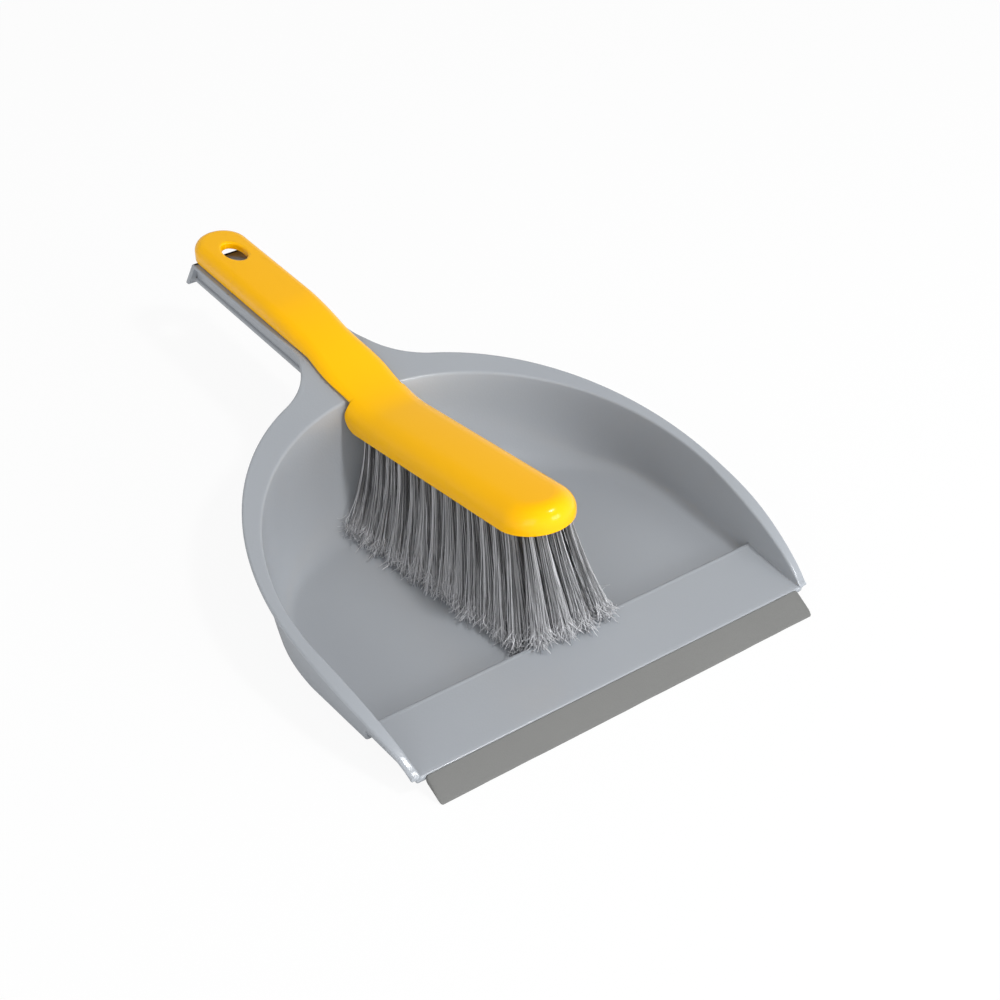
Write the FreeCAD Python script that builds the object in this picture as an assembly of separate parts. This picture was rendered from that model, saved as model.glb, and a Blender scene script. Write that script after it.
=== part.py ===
"""Dust pan with a clipped-on hand brush.

Frame: millimetres, +Z up. The origin is the middle of the tray's flat underside. +Y runs from
the lip towards the two handles, X is across, and the set is symmetric about X = 0.

The pan is one moulding: tray, sloping walls, rim flange, entry ramp and channel handle. A soft
lip is pressed into a groove in the ramp's front edge. The brush handle sits over a tongue on
the pan handle, level with it, so the brush head points a little upwards over the tray. Each
bristle tuft is held in a blind hole of the head by a flat wire anchor.
"""
import FreeCAD
import Part
import math
import os

V = FreeCAD.Vector

# ---------------------------------------------------------------- driving sizes: the pan
WALL = 2.2                 # thickness of the tray walls
FLOOR = 2.4                # thickness of the tray floor
RAMP_EXTRA = 1.25          # the ramp is this much thicker, measured upright
TRAY_HALF = 103.6          # half width inside the tray at the floor
TRAY_BACK = 56.0           # rear end of the tray's floor
TRAY_FRONT = -59.0         # where the ramp's crest drops to the floor
WALL_SPREAD = 7.8          # how far each side wall leans out over LOFT_TOP
LOFT_EXTRA = 8.0           # the leaning walls are drawn this far above the rim, then trimmed
# The walls in four sections: share of the height, distance behind TRAY_BACK, where the side starts
# to curve round, and the fullness of that curve, which would be 0.5523 on an ellipse.
TRAY_SECTIONS = [(0.0, 0.0, -20.0, 0.70), (0.2, 20.5, -22.5, 0.65),
                 (0.46667, 34.0, -25.0, 0.60), (1.0, 47.0, -28.0, 0.57)]
RAMP_LENGTH = 37.0         # crest to the hard front edge
RAMP_TAPER = 3.8           # how much narrower each side is at the front edge
FRONT_HEIGHT = 7.6         # top of the hard front edge
CREST_HEIGHT = 9.0         # top of the crest
RIM_OUT = 9.4              # how far the flange reaches outside the tray's inside at the floor
RIM_WIDEST = -22.0         # where the flange is widest
RIM_BEHIND = 59.3          # where its curve would end behind TRAY_BACK, without the handle
RIM_FULLNESS = 0.556       # fullness of that curve
RIM_FRONT_INSET = 8.0      # how much the flange narrows at the front corners
RIM_FRONT_PULL = 5.6       # how far its side bulges outwards behind each corner
RIM_THICK = 2.4            # thickness of the flange and of the handle's top plate
HANDLE_TOP = 52.0          # height of the pan handle's top face
RIM_LEVEL_BEHIND = 75.0    # the rim is level from here, behind TRAY_BACK, and slopes in front
RIM_SLOPE = 8.0            # slope of the rim, degrees
RIM_BEND = -34.0           # in front of this the rim curves down to the front edge
RIM_END_RISE = 0.2         # height of the rim over the hard front edge
RIM_END_LEAD = (7.8, 9.1)  # the rim leaves the front edge towards this (y, z) offset
CURVE_PULL = 0.45          # pull of the free curves, as a share of their length
JUNCTION_RADIUS = 43.0     # concave corner between the flange and the handle
PAN_HANDLE_HALF = 16.6     # half width of the handle's top plate
PAN_HANDLE_LENGTH = 112.0  # level part of the pan handle
CHANNEL_AHEAD = 54.5       # the handle's side walls start this far in front of its level part
CHANNEL_INSET = 2.0        # the channel walls stand inside the plate's edge
CHANNEL_DEPTH = 10.5       # height of the handle's side walls below its top face
CHANNEL_WALL = 2.2         # thickness of the handle's side walls
BEAD = 1.2                 # bead along the lower edge of the side walls
END_TAB_DROP = 12.6        # height of the plate that closes the handle's end
END_TAB_THICK = 3.0        # thickness of that plate
END_TAB_FLARE = 2.4        # how much wider it is than the top plate, each side
END_TAB_LEAN = 5.0         # how far its lower edge leans back

# ---------------------------------------------------------------- driving sizes: the lip
LIP_INSET = 6.0            # the lip is this much shorter than the flange's front at each end
LIP_REACH = 11.2           # front edge of the lip in front of the hard edge
LIP_THICK = 2.0            # blade thickness at the root
LIP_TIP = 0.7              # blade thickness at the floor
LIP_TONGUE = 5.0           # depth of the tongue that is pressed into the ramp's edge
LIP_TONGUE_THICK = 1.2

# ---------------------------------------------------------------- driving sizes: the brush
SEAT_GAP = 0.3             # clearance between the brush and what it sits on
HEAD_HALF = 18.4           # half width of the head
HEAD_NOSE = -51.2          # front of the head
HEEL_BEHIND = 27.5         # rear of the head's underside, behind TRAY_BACK
HEEL_ROUND = 9.1           # length of the round heel, up to the neck
HEAD_SLOPE = 8.75          # upward tilt of the head, degrees
HEAD_THICK = 12.8          # thickness of the head, crown included
HEEL_DROP = 16.0           # the head's underside at HEEL_LOW lies this far below HANDLE_TOP
GRIP_HALF = 14.3           # half width of the brush handle
GRIP_HEIGHT = 10.0         # height of the brush handle
GRIP_OVERHANG = 10.6       # the brush handle ends this far behind the pan handle's plate
WAIST_LENGTH = 40.0        # from the head's full width to the narrow handle
WAIST_AFTER = 10.4         # the waist starts this far behind the heel
GRIP_CROWN_AFTER = 79.4    # the handle's top falls towards the head in front of this, from the heel
CROWN_RADIUS = 5.0         # rounding along the top edges
GRIP_WALL = 3.0            # wall round the hollows under the handle
NECK_AHEAD = 12.0          # the flat top of the head ends this far in front of HEEL_LOW
NECK_PULL = 34.0           # how far the neck's top line follows its two straight ends
WAIST_PULL = 15.0          # the same for the neck's side lines
HEEL_PULL = (2.5, 0.6, 5.0)  # shape of the round heel: back, down and up from its corner
SLOT_AHEAD = 17.0          # centre of the hanging slots, in front of PAN_HANDLE_END
SLOT_WIDTH = 11.0          # oval hanging slot through the brush handle
SLOT_LENGTH = 20.0
PAN_SLOT_WIDTH = 20.0      # larger oval opening below it in the pan handle
PAN_SLOT_LENGTH = 27.0
GRIP_ROOF = 3.7            # thickness over the two hollows under the brush handle
GRIP_RIB = 2.0             # cross rib between the two hollows
TONGUE_AFTER = 19.0        # the tongue under the brush handle starts behind RIM_LEVEL_FROM
TONGUE_GAP = 22.0          # and ends this far in front of the slots' centre

# ---------------------------------------------------------------- driving sizes: the bristles
TUFT_HOLE = 2.25           # radius of each tuft hole
HOLE_ROOF = 4.8            # thickness left over each hole, crown included
TUFT_SIDE = 5.8            # outer tufts' centres to the head's side
TUFT_ROWS = 14
NOSE_ROW = 9.7             # first row behind the nose
HEEL_ROW = 4.5             # last row in front of HEEL_LOW
NOSE_SQUEEZE = 0.82        # the first row follows the round nose
TIPS_BEHIND_CREST = 7.0    # where the tips of the first row land
TIPS_BEFORE_BACK = 9.0     # where the tips of the last row land
FAN_FIRST = 1.75           # how far the first row's tips fan out, as a multiple
FAN_LAST = 2.9             # the same for the last row
TUFT_FIT = 0.03            # radial clearance between a tuft and its hole
TUFT_GROWTH = 1.45         # how much wider a tuft is at its tips than at its hole
TIP_GAP = 0.5              # tips to the tray floor or ramp
ANCHOR_BITE = 0.35         # how far each end of a flat wire anchor bites into its hole's side
ANCHOR_THICK = 0.45
ANCHOR_HIGH = 1.8
ANCHOR_LIFT = 1.4          # anchor above the bottom of the hole

# ---------------------------------------------------------------- sizes that follow
RIM_HALF = TRAY_HALF + RIM_OUT
RIM_BACK = TRAY_BACK + RIM_BEHIND
RIM_LEVEL_FROM = TRAY_BACK + RIM_LEVEL_BEHIND
LOFT_TOP = HANDLE_TOP + LOFT_EXTRA
PAN_HANDLE_END = RIM_LEVEL_FROM + PAN_HANDLE_LENGTH
LIP_WIDTH = 2 * (RIM_HALF - RIM_FRONT_INSET - LIP_INSET)
FRONT_EDGE = TRAY_FRONT - RAMP_LENGTH
LIP_FRONT = FRONT_EDGE - LIP_REACH
HEAD_SLOPE_TAN = math.tan(math.radians(HEAD_SLOPE))
RIM_SLOPE_TAN = math.tan(math.radians(RIM_SLOPE))
GRIP_BOTTOM = HANDLE_TOP + SEAT_GAP
GRIP_TOP = GRIP_BOTTOM + GRIP_HEIGHT
GRIP_END = PAN_HANDLE_END + GRIP_OVERHANG
HEEL_LOW = TRAY_BACK + HEEL_BEHIND
HEEL = HEEL_LOW + HEEL_ROUND
HEEL_UNDERSIDE = HANDLE_TOP - HEEL_DROP
HEAD_REAR = HEEL + WAIST_AFTER
GRIP_FRONT = HEAD_REAR + WAIST_LENGTH
GRIP_CROWN = HEEL + GRIP_CROWN_AFTER
NECK_START = HEEL_LOW - NECK_AHEAD
SLOT_Y = PAN_HANDLE_END - SLOT_AHEAD
TONGUE_FRONT = RIM_LEVEL_FROM + TONGUE_AFTER
TONGUE_BACK = SLOT_Y - TONGUE_GAP
POCKET_HALF = GRIP_HALF - GRIP_WALL
TONGUE_HALF = POCKET_HALF - SEAT_GAP
TONGUE_TOP = GRIP_TOP - GRIP_ROOF - SEAT_GAP
HOLE_DEPTH = HEAD_THICK - HOLE_ROOF
TUFTS_X = [(HEAD_HALF - TUFT_SIDE) * k / 3 for k in (-3, -1, 1, 3)]   # the four tufts of a row
FIRST_ROW = HEAD_NOSE + NOSE_ROW
LAST_ROW = HEEL_LOW - HEEL_ROW
TIPS_FIRST = TRAY_FRONT + TIPS_BEHIND_CREST
TIPS_LAST = TRAY_BACK - TIPS_BEFORE_BACK
ANCHOR_LONG = 2 * (TUFT_HOLE + ANCHOR_BITE)
FAR = 400.0                # larger than the object


# ---------------------------------------------------------------- small helpers
def wire(points):
    """A closed polygon."""
    return Part.makePolygon(points + [points[0]])


def prism_across(outline, half=FAR):
    """A side outline of (y, z) points or edges, extruded from X = -half to half."""
    edges = outline if isinstance(outline[0], Part.Edge) else None
    closed = Part.Wire(edges) if edges else wire([V(0, y, z) for y, z in outline])
    face = Part.Face(closed)
    face.translate(V(-half, 0, 0))
    return face.extrude(V(2 * half, 0, 0))


def box(low, high):
    """An axis-parallel block between two corners."""
    return Part.makeBox(high[0] - low[0], high[1] - low[1], high[2] - low[2], V(*low))


def line(a, b):
    return Part.LineSegment(a, b).toShape()


def bezier(*poles):
    """One smooth edge with the given control points."""
    c = Part.BezierCurve()
    c.setPoles(list(poles))
    return c.toShape()


def arch(half_width, widest_y, back_y, fullness, z):
    """The rounded back of a plan outline, right to left, as two smooth quarter edges."""
    side, rear = half_width * fullness, (back_y - widest_y) * fullness
    right, top, left = V(half_width, widest_y, z), V(0, back_y, z), V(-half_width, widest_y, z)
    return [bezier(right, right + V(0, rear, 0), top + V(side, 0, 0), top),
            bezier(top, top - V(side, 0, 0), left + V(0, rear, 0), left)]


def oval_prism(width, length, y, z0, z1):
    """An upright elliptic prism, long in Y."""
    ring = Part.Ellipse(V(0, y + length / 2, z0), V(width / 2, y, z0), V(0, y, z0))
    return Part.Face(Part.Wire(ring.toShape())).extrude(V(0, 0, z1 - z0))


def fillet_where(shape, radius, wanted):
    """Rounds the edges that wanted(edge) picks."""
    picked = [e for e in shape.Edges if wanted(e)]
    return shape.makeFillet(radius, picked)


# ---------------------------------------------------------------- the pan's surfaces
def rim_height(y):
    """Height of the rim's top face: level over the handle, then a straight slope."""
    return HANDLE_TOP - max(RIM_LEVEL_FROM - y, 0.0) * RIM_SLOPE_TAN


def rim_line(drop):
    """The rim's side line, front to back, lowered by drop."""
    bend = V(0, RIM_BEND, rim_height(RIM_BEND) - drop)
    front = V(0, FRONT_EDGE, FRONT_HEIGHT + RIM_END_RISE - drop)
    pull = (RIM_BEND - FRONT_EDGE) * CURVE_PULL
    nose = bezier(front, front + V(0, *RIM_END_LEAD), bend - V(0, pull, pull * RIM_SLOPE_TAN), bend)
    level = V(0, RIM_LEVEL_FROM, HANDLE_TOP - drop)
    end = V(0, FAR, HANDLE_TOP - drop)
    return [nose, line(bend, level), line(level, end)], front, end


def under_rim(drop, bottom):
    """Everything below the rim's side line, lowered by drop, down to bottom."""
    top, front, end = rim_line(drop)
    low_end, low_front = V(0, FAR, bottom), V(0, FRONT_EDGE, bottom)
    sides = [line(end, low_end), line(low_end, low_front), line(low_front, front)]
    return prism_across(top + sides)


def wall_section(offset, front, share, behind, widest, fullness):
    """One closed outline of the tray walls at a share of the height."""
    z = LOFT_TOP * share
    half = TRAY_HALF + WALL_SPREAD * share + offset
    front_half = half - RAMP_TAPER * (widest - front) / (widest - FRONT_EDGE)
    a, b = V(-front_half, front, z), V(front_half, front, z)
    c, d = V(half, widest, z), V(-half, widest, z)
    rounded = arch(half, widest, TRAY_BACK + behind + offset, fullness, z)
    return Part.Wire([line(a, b), line(b, c)] + rounded + [line(d, a)])


def wall_loft(offset, front):
    """The leaning tray walls as a solid: inner face for offset 0, outer face for more."""
    return Part.makeLoft([wall_section(offset, front, *section) for section in TRAY_SECTIONS], True, False)


def above(points):
    """Everything above a side line of (y, z) points, front to back."""
    return prism_across(points + [(FAR, FAR), (points[0][0], FAR)])


def tray():
    """Floor, walls and ramp, open at the front above the ramp."""
    ahead = LIP_FRONT
    drop = FLOOR * RAMP_EXTRA
    outer = wall_loft(WALL, FRONT_EDGE).common(under_rim(0.0, 0.0))
    inner = wall_loft(0.0, ahead)
    top_side = above([(ahead, FRONT_HEIGHT), (FRONT_EDGE, FRONT_HEIGHT),
                      (TRAY_FRONT, CREST_HEIGHT), (TRAY_FRONT, FLOOR), (FAR, FLOOR)])
    under_ramp = prism_across([
        (ahead, -1), (ahead, FRONT_HEIGHT - drop), (FRONT_EDGE, FRONT_HEIGHT - drop),
        (TRAY_FRONT - FLOOR, CREST_HEIGHT - drop), (TRAY_FRONT - FLOOR, -1),
    ])
    return outer.cut(inner.common(top_side)).cut(under_ramp)


def rim_plan(height):
    """Upright prism of the flange and handle plate, with hollow corners where they meet."""
    front_half = RIM_HALF - RIM_FRONT_INSET
    reach = (RIM_WIDEST - FRONT_EDGE) * CURVE_PULL

    def side(s):
        corner, wide = V(s * front_half, FRONT_EDGE, 0), V(s * RIM_HALF, RIM_WIDEST, 0)
        return bezier(corner, corner + V(s * RIM_FRONT_PULL, reach, 0), wide - V(0, reach, 0), wide)

    back = arch(RIM_HALF, RIM_WIDEST, RIM_BACK, RIM_FULLNESS, 0)
    front = line(V(-front_half, FRONT_EDGE, 0), V(front_half, FRONT_EDGE, 0))
    plan = Part.Face(Part.Wire([front, side(1)] + back + [side(-1)])).extrude(V(0, 0, height))
    handle = box((-PAN_HANDLE_HALF, 0, 0), (PAN_HANDLE_HALF, PAN_HANDLE_END, height))
    both = plan.fuse(handle).removeSplitter()

    def hollow_corner(e):
        p = e.CenterOfMass
        upright = e.BoundBox.ZLength > height - 0.01 and e.BoundBox.XLength < 0.01
        return upright and p.y < PAN_HANDLE_END - 1 and abs(p.x) < PAN_HANDLE_HALF + 1

    return fillet_where(both, JUNCTION_RADIUS, hollow_corner)


def flange():
    """Rim flange and handle plate, a band that follows the rim's side line."""
    band = under_rim(0.0, 0.0).cut(under_rim(RIM_THICK, -1.0))
    return rim_plan(LOFT_TOP).common(band).cut(wall_loft(0.0, LIP_FRONT))


def channel():
    """Side walls, lower beads and end plate of the pan handle, with the tongue on top."""
    outer = PAN_HANDLE_HALF - CHANNEL_INSET
    low = HANDLE_TOP - CHANNEL_DEPTH
    start = RIM_LEVEL_FROM - CHANNEL_AHEAD
    pieces = []
    for side in (-1, 1):
        x0, x1 = sorted((side * outer, side * (outer - CHANNEL_WALL)))
        pieces.append(box((x0, start, low), (x1, PAN_HANDLE_END, HANDLE_TOP - RIM_THICK / 2)))
        x0, x1 = sorted((side * (outer + BEAD), side * (outer - CHANNEL_WALL)))
        pieces.append(box((x0, start, low), (x1, PAN_HANDLE_END, low + 2 * BEAD)))
    sections = []
    for half, y, z in ((PAN_HANDLE_HALF, PAN_HANDLE_END, HANDLE_TOP),
                       (PAN_HANDLE_HALF + END_TAB_FLARE, PAN_HANDLE_END + END_TAB_LEAN,
                        HANDLE_TOP - END_TAB_DROP)):
        sections.append(wire([V(-half, y, z), V(half, y, z),
                              V(half, y - END_TAB_THICK, z), V(-half, y - END_TAB_THICK, z)]))
    pieces.append(Part.makeLoft(sections, True, True))
    return pieces[0].multiFuse(pieces[1:])


def tongue(extra):
    """The block that the brush handle sits over; extra grows it into the brush's hollow."""
    half = TONGUE_HALF + extra
    return box((-half, TONGUE_FRONT - extra, HANDLE_TOP - RIM_THICK / 2),
               (half, TONGUE_BACK + extra, TONGUE_TOP + extra))


def lip_groove(clear):
    """The lip's tongue, or with clear the groove that it fills."""
    middle = FRONT_HEIGHT - FLOOR / 2 - 0.1
    half = LIP_TONGUE_THICK / 2 + clear
    return box((-LIP_WIDTH / 2 - clear, FRONT_EDGE - 1, middle - half),
               (LIP_WIDTH / 2 + clear, FRONT_EDGE + LIP_TONGUE + clear, middle + half))


def pan_body():
    cavity = wall_loft(0.0, FRONT_EDGE).common(box((-FAR, 0, FLOOR), (FAR, FAR, FAR)))
    slot = oval_prism(PAN_SLOT_WIDTH, PAN_SLOT_LENGTH, SLOT_Y, 0, FAR)
    ribs = channel().common(under_rim(0.0, 0.0)).cut(cavity)
    handle = flange().multiFuse([ribs, tongue(0.0)]).cut(slot)
    return tray().fuse(handle).cut(lip_groove(0.0)).removeSplitter()


# ---------------------------------------------------------------- the lip
def rubber_lip():
    """A tapering blade from the ramp's edge down to the floor, with its tongue."""
    outline = [
        (FRONT_EDGE, FRONT_HEIGHT), (FRONT_EDGE, FRONT_HEIGHT - LIP_THICK - 0.4),
        (LIP_FRONT + LIP_TIP, 0.0), (LIP_FRONT, 0.0), (LIP_FRONT, LIP_TIP),
    ]
    blade = prism_across(outline, LIP_WIDTH / 2)
    tongue_piece = lip_groove(0.0).common(box((-FAR, FRONT_EDGE, 0), (FAR, FAR, FAR)))
    return blade.fuse(tongue_piece).removeSplitter()


# ---------------------------------------------------------------- the brush
def head_underside(y):
    """Height of the head's flat underside: it rises towards the nose."""
    return HEEL_UNDERSIDE + (HEEL_LOW - y) * HEAD_SLOPE_TAN


def brush_side():
    """Side outline of the brush: head, neck and level handle."""
    neck = rim_height(HEEL) + SEAT_GAP
    top = head_underside(NECK_START) + HEAD_THICK
    back, down, up = HEEL_PULL
    p0 = V(0, HEAD_NOSE - 1, head_underside(HEAD_NOSE - 1))
    p1, p2 = V(0, HEEL_LOW, HEEL_UNDERSIDE), V(0, HEEL, neck)
    p3, p4 = V(0, RIM_LEVEL_FROM, GRIP_BOTTOM), V(0, GRIP_END + 1, GRIP_BOTTOM)
    p5, p6 = V(0, GRIP_END + 1, GRIP_TOP), V(0, GRIP_CROWN, GRIP_TOP)
    p7 = V(0, NECK_START, top)
    p8 = V(0, p0.y, p0.z + HEAD_THICK)
    heel = bezier(p1, V(0, HEEL - back, HEEL_UNDERSIDE - down), V(0, HEEL, HEEL_UNDERSIDE + up), p2)
    neck_top = bezier(p6, p6 - V(0, NECK_PULL, 0), p7 + V(0, NECK_PULL, -NECK_PULL * HEAD_SLOPE_TAN), p7)
    return [line(p0, p1), heel, line(p2, p3), line(p3, p4), line(p4, p5), line(p5, p6), neck_top,
            line(p7, p8), line(p8, p0)]


def brush_plan(shrink=0.0):
    """Upright prism of the brush's outline from above: round ends and a widening neck."""
    head, grip = HEAD_HALF - shrink, GRIP_HALF - shrink
    nose, end = HEAD_NOSE + shrink, GRIP_END - shrink

    def side(s):
        a, b = V(s * head, HEAD_REAR, 0), V(s * grip, GRIP_FRONT, 0)
        return bezier(a, a + V(0, WAIST_PULL, 0), b - V(0, WAIST_PULL, 0), b)

    def cap(half, y, tip):
        return Part.Arc(V(half, y, 0), V(0, tip, 0), V(-half, y, 0)).toShape()

    y0, y1 = nose + head, end - grip
    edges = [cap(head, y0, nose), cap(grip, y1, end)]
    for s in (-1, 1):
        edges.append(line(V(s * head, y0, 0), V(s * head, HEAD_REAR, 0)))
        edges.append(side(s))
        edges.append(line(V(s * grip, GRIP_FRONT, 0), V(s * grip, y1, 0)))
    return Part.Face(Part.Wire(Part.__sortEdges__(edges))).extrude(V(0, 0, FAR))


def brush_shell():
    """The block's outside, with its crown rounded."""
    body = brush_plan().common(prism_across(brush_side())).removeSplitter()

    def crown(e):
        m = e.CenterOfMass
        faces = body.ancestorsOfType(e, Part.Face)
        tops = [f for f in faces if f.normalAt(*f.Surface.parameter(m)).z > 0.8]
        return len(tops) == 1

    return fillet_where(body, CROWN_RADIUS, crown)


def row_y(row):
    return FIRST_ROW + (LAST_ROW - FIRST_ROW) * row / (TUFT_ROWS - 1)


def tuft_places(row):
    """Root and tip centres of the tufts in one row."""
    share = row / (TUFT_ROWS - 1)
    y = row_y(row)
    tip_y = TIPS_FIRST + (TIPS_LAST - TIPS_FIRST) * share
    fan = FAN_FIRST + (FAN_LAST - FAN_FIRST) * share
    squeeze = NOSE_SQUEEZE if row == 0 else 1.0
    return [(V(x * squeeze, y, head_underside(y)), V(x * squeeze * fan, tip_y, FLOOR + TIP_GAP))
            for x in TUFTS_X]


def into_head():
    """Unit direction of the holes: square to the head's underside."""
    return V(0, HEAD_SLOPE_TAN, 1).normalize()


def hole_bottom(root):
    return root + into_head() * HOLE_DEPTH


def anchor(root):
    """A flat wire anchor that spans its hole and bites into both sides."""
    half, thin = ANCHOR_LONG / 2, ANCHOR_THICK / 2
    plate = box((-half, -thin, 0), (half, thin, ANCHOR_HIGH))
    plate.rotate(V(0, 0, 0), V(1, 0, 0), -HEAD_SLOPE)
    plate.translate(hole_bottom(root) - into_head() * (ANCHOR_LIFT + ANCHOR_HIGH))
    return plate


def tuft(root, tip):
    """A bundle of filaments: round in its hole, then widening to the tips."""
    r = TUFT_HOLE - TUFT_FIT
    held = Part.makeCylinder(r, HOLE_DEPTH - TUFT_FIT, root, into_head())
    mouth = Part.Wire(Part.Circle(root, into_head(), r).toShape())
    ends = Part.Wire(Part.Circle(tip, V(0, 0, 1), r * TUFT_GROWTH).toShape())
    return held.fuse(Part.makeLoft([ends, mouth], True, True)).cut(anchor(root))


def brush_block():
    body = brush_shell()
    behind = box((-FAR, TONGUE_BACK + SEAT_GAP + GRIP_RIB, 0), (FAR, FAR, GRIP_TOP - GRIP_ROOF))
    slot = oval_prism(SLOT_WIDTH, SLOT_LENGTH, SLOT_Y, 0, FAR)
    body = body.cut(tongue(SEAT_GAP)).cut(brush_plan(GRIP_WALL).common(behind)).cut(slot)
    cutters = []
    for row in range(TUFT_ROWS):
        for root, tip in tuft_places(row):
            below = root - into_head()
            cutters.append(Part.makeCylinder(TUFT_HOLE, HOLE_DEPTH + 1, below, into_head()))
            cutters.append(anchor(root))
    return body.cut(Part.makeCompound(cutters)).removeSplitter()


def save(name, shapes):
    """Writes one node; several shapes stay separate solids."""
    shape = shapes[0] if len(shapes) == 1 else Part.makeCompound(shapes)
    shape.exportStep("parts/" + name + ".step")


if __name__ == "__main__":
    os.makedirs("parts", exist_ok=True)
    save("pan_body", [pan_body()])
    save("rubber_lip", [rubber_lip()])
    save("brush_block", [brush_block()])
    for row in range(TUFT_ROWS):
        places = tuft_places(row)
        save("tuft_row_%02d" % (row + 1), [tuft(root, tip) for root, tip in places])
        save("anchor_row_%02d" % (row + 1), [anchor(root) for root, tip in places])
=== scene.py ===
"""A dust pan and its hand brush: shaped surfaces, bristles, finishes, light and camera."""
import math
import bmesh
import bpy
import numpy as np
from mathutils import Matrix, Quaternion, Vector


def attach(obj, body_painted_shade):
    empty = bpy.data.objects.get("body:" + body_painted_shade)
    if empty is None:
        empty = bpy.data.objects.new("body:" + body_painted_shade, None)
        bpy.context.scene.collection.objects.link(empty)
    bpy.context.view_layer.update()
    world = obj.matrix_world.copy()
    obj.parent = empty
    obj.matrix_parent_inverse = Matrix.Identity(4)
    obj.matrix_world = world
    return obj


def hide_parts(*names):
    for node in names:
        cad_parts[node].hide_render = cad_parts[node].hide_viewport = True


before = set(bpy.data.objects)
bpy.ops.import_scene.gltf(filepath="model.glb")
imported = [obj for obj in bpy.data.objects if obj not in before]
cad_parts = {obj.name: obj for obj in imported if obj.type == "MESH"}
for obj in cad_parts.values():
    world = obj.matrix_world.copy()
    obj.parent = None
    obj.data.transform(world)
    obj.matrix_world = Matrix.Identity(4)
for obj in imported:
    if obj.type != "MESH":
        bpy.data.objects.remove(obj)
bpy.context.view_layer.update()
MM = 0.001

# ------------------------------------------------------------ sizes of the set, in millimetres
WALL = 2.2
FLOOR = 2.4
TRAY_HALF = 103.6
WALL_SPREAD = 7.8
WIDEST = -28.0
WALL_HEIGHTS = (0.0, 12.0, 28.0, 60.0)
BACK_REACH = (56.0, 76.5, 90.0, 103.0)
SIDE_START = (-20.0, -22.5, -25.0, -28.0)
SIDE_FULLNESS = (0.70, 0.65, 0.60, 0.57)
CREST = -59.0
FRONT = -96.0
TAPER = 3.8
FRONT_TOP = 7.6
CREST_TOP = 9.0
RIM_HALF = 113.0
RIM_WIDEST = -22.0
RIM_BACK = 115.3
RIM_FULLNESS = 0.556
RIM_INSET = 8.0
RIM_FRONT_PULL = 5.6
RIM_THICK = 2.4
HANDLE_TOP = 52.0
LEVEL_FROM = 131.0
SLOPE = math.tan(math.radians(8.0))
RIM_BEND = -34.0
HOLLOW = 43.0
PLATE_HALF = 16.6
PLATE_END = 243.0
PLATE_CUT = 206.0
SEAT = 0.3
HEAD_HALF = 18.4
NOSE = -51.2
HEEL_LOW = 83.5
HEEL = 92.6
HEAD_SLOPE = math.tan(math.radians(8.75))
HEAD_THICK = 12.8
HEEL_UNDER = 36.0
GRIP_HALF = 14.3
GRIP_END = 253.6
GRIP_WALL = 3.0
GRIP_ROOF = 3.7
GRIP_FRONT = 143.0
GRIP_CROWN = 172.0
GRIP_TOP = HANDLE_TOP + SEAT + 10.0
HEAD_REAR = 103.0
SLOT_Y = 226.0
GRIP_CUT = 205.3
HEAD_CROWN = 9.4
GRIP_CROWN_RADIUS = 4.6


# ------------------------------------------------------------ mesh making
def cubic(a, b, c, d, t):
    """The cubic (1-t)^3 a + 3 t (1-t)^2 b + 3 t^2 (1-t) c + t^3 d."""
    k = 1 - t
    return k ** 3 * a + 3 * t * k * k * b + 3 * t * t * k * c + t ** 3 * d


def between(a, b, n, last=False):
    """n steps from a towards b along a new last axis; b itself only if last is set."""
    t = np.linspace(0, 1, n, endpoint=last)
    return a[..., None, :] * (1 - t)[:, None] + b[..., None, :] * t[:, None]


def rounded(a, corner, b, n):
    """n points of the curve (1-t)^2 a + 2 t (1-t) corner + t^2 b, the last one left out."""
    t = np.linspace(0, 1, n, endpoint=False)[:, None]
    return a[..., None, :] * (1 - t) ** 2 + 2 * corner[..., None, :] * t * (1 - t) + b[..., None, :] * t * t


def point(x, y, z):
    """Stacks three arrays or numbers into an array of points."""
    return np.stack(np.broadcast_arrays(x, y, z), -1).astype(float)


def surface(name, grids, mirror=False, sharp=42.0, weld=0.004):
    """Quads over each (rows, columns, 3) grid in millimetres; mirror adds the copy across X = 0."""
    verts, faces, start = [], [], 0
    for g in grids:
        rows, cols = g.shape[:2]
        index = np.arange(rows * cols).reshape(rows, cols) + start
        quads = np.stack([index[:-1, :-1], index[1:, :-1], index[1:, 1:], index[:-1, 1:]], -1).reshape(-1, 4)
        verts.append(g.reshape(-1, 3))
        faces.append(quads)
        start += rows * cols
        if mirror:
            verts.append(g.reshape(-1, 3) * (-1, 1, 1))
            faces.append(quads[:, ::-1] + rows * cols)
            start += rows * cols
    mesh = bpy.data.meshes.new(name)
    mesh.from_pydata(np.concatenate(verts) * MM, [], np.concatenate(faces).tolist())
    work = bmesh.new()
    work.from_mesh(mesh)
    bmesh.ops.remove_doubles(work, verts=work.verts, dist=weld * MM)
    bmesh.ops.dissolve_degenerate(work, edges=work.edges, dist=weld * MM * 0.5)
    bmesh.ops.recalc_face_normals(work, faces=work.faces)
    work.to_mesh(mesh)
    work.free()
    mesh.shade_smooth()
    mesh.set_sharp_from_angle(angle=math.radians(sharp))
    made = bpy.data.objects.new(name, mesh)
    bpy.context.scene.collection.objects.link(made)
    return made


def fit(piece, body_painted_shade, slot, material, *nodes):
    """Gives a piece its body and material, and lets it stand for CAD nodes."""
    piece.data.materials.clear()
    piece.data.materials.append(material)
    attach(piece, body_painted_shade)
    if nodes:
        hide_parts(*nodes)
    return piece


# ------------------------------------------------------------ the pan
BACK_CURVE, SIDE_CURVE, FULL_CURVE = (np.polyfit(WALL_HEIGHTS, row, 3) for row in (
    BACK_REACH, SIDE_START, SIDE_FULLNESS))
SIDE_SHARE = 0.7


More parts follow.
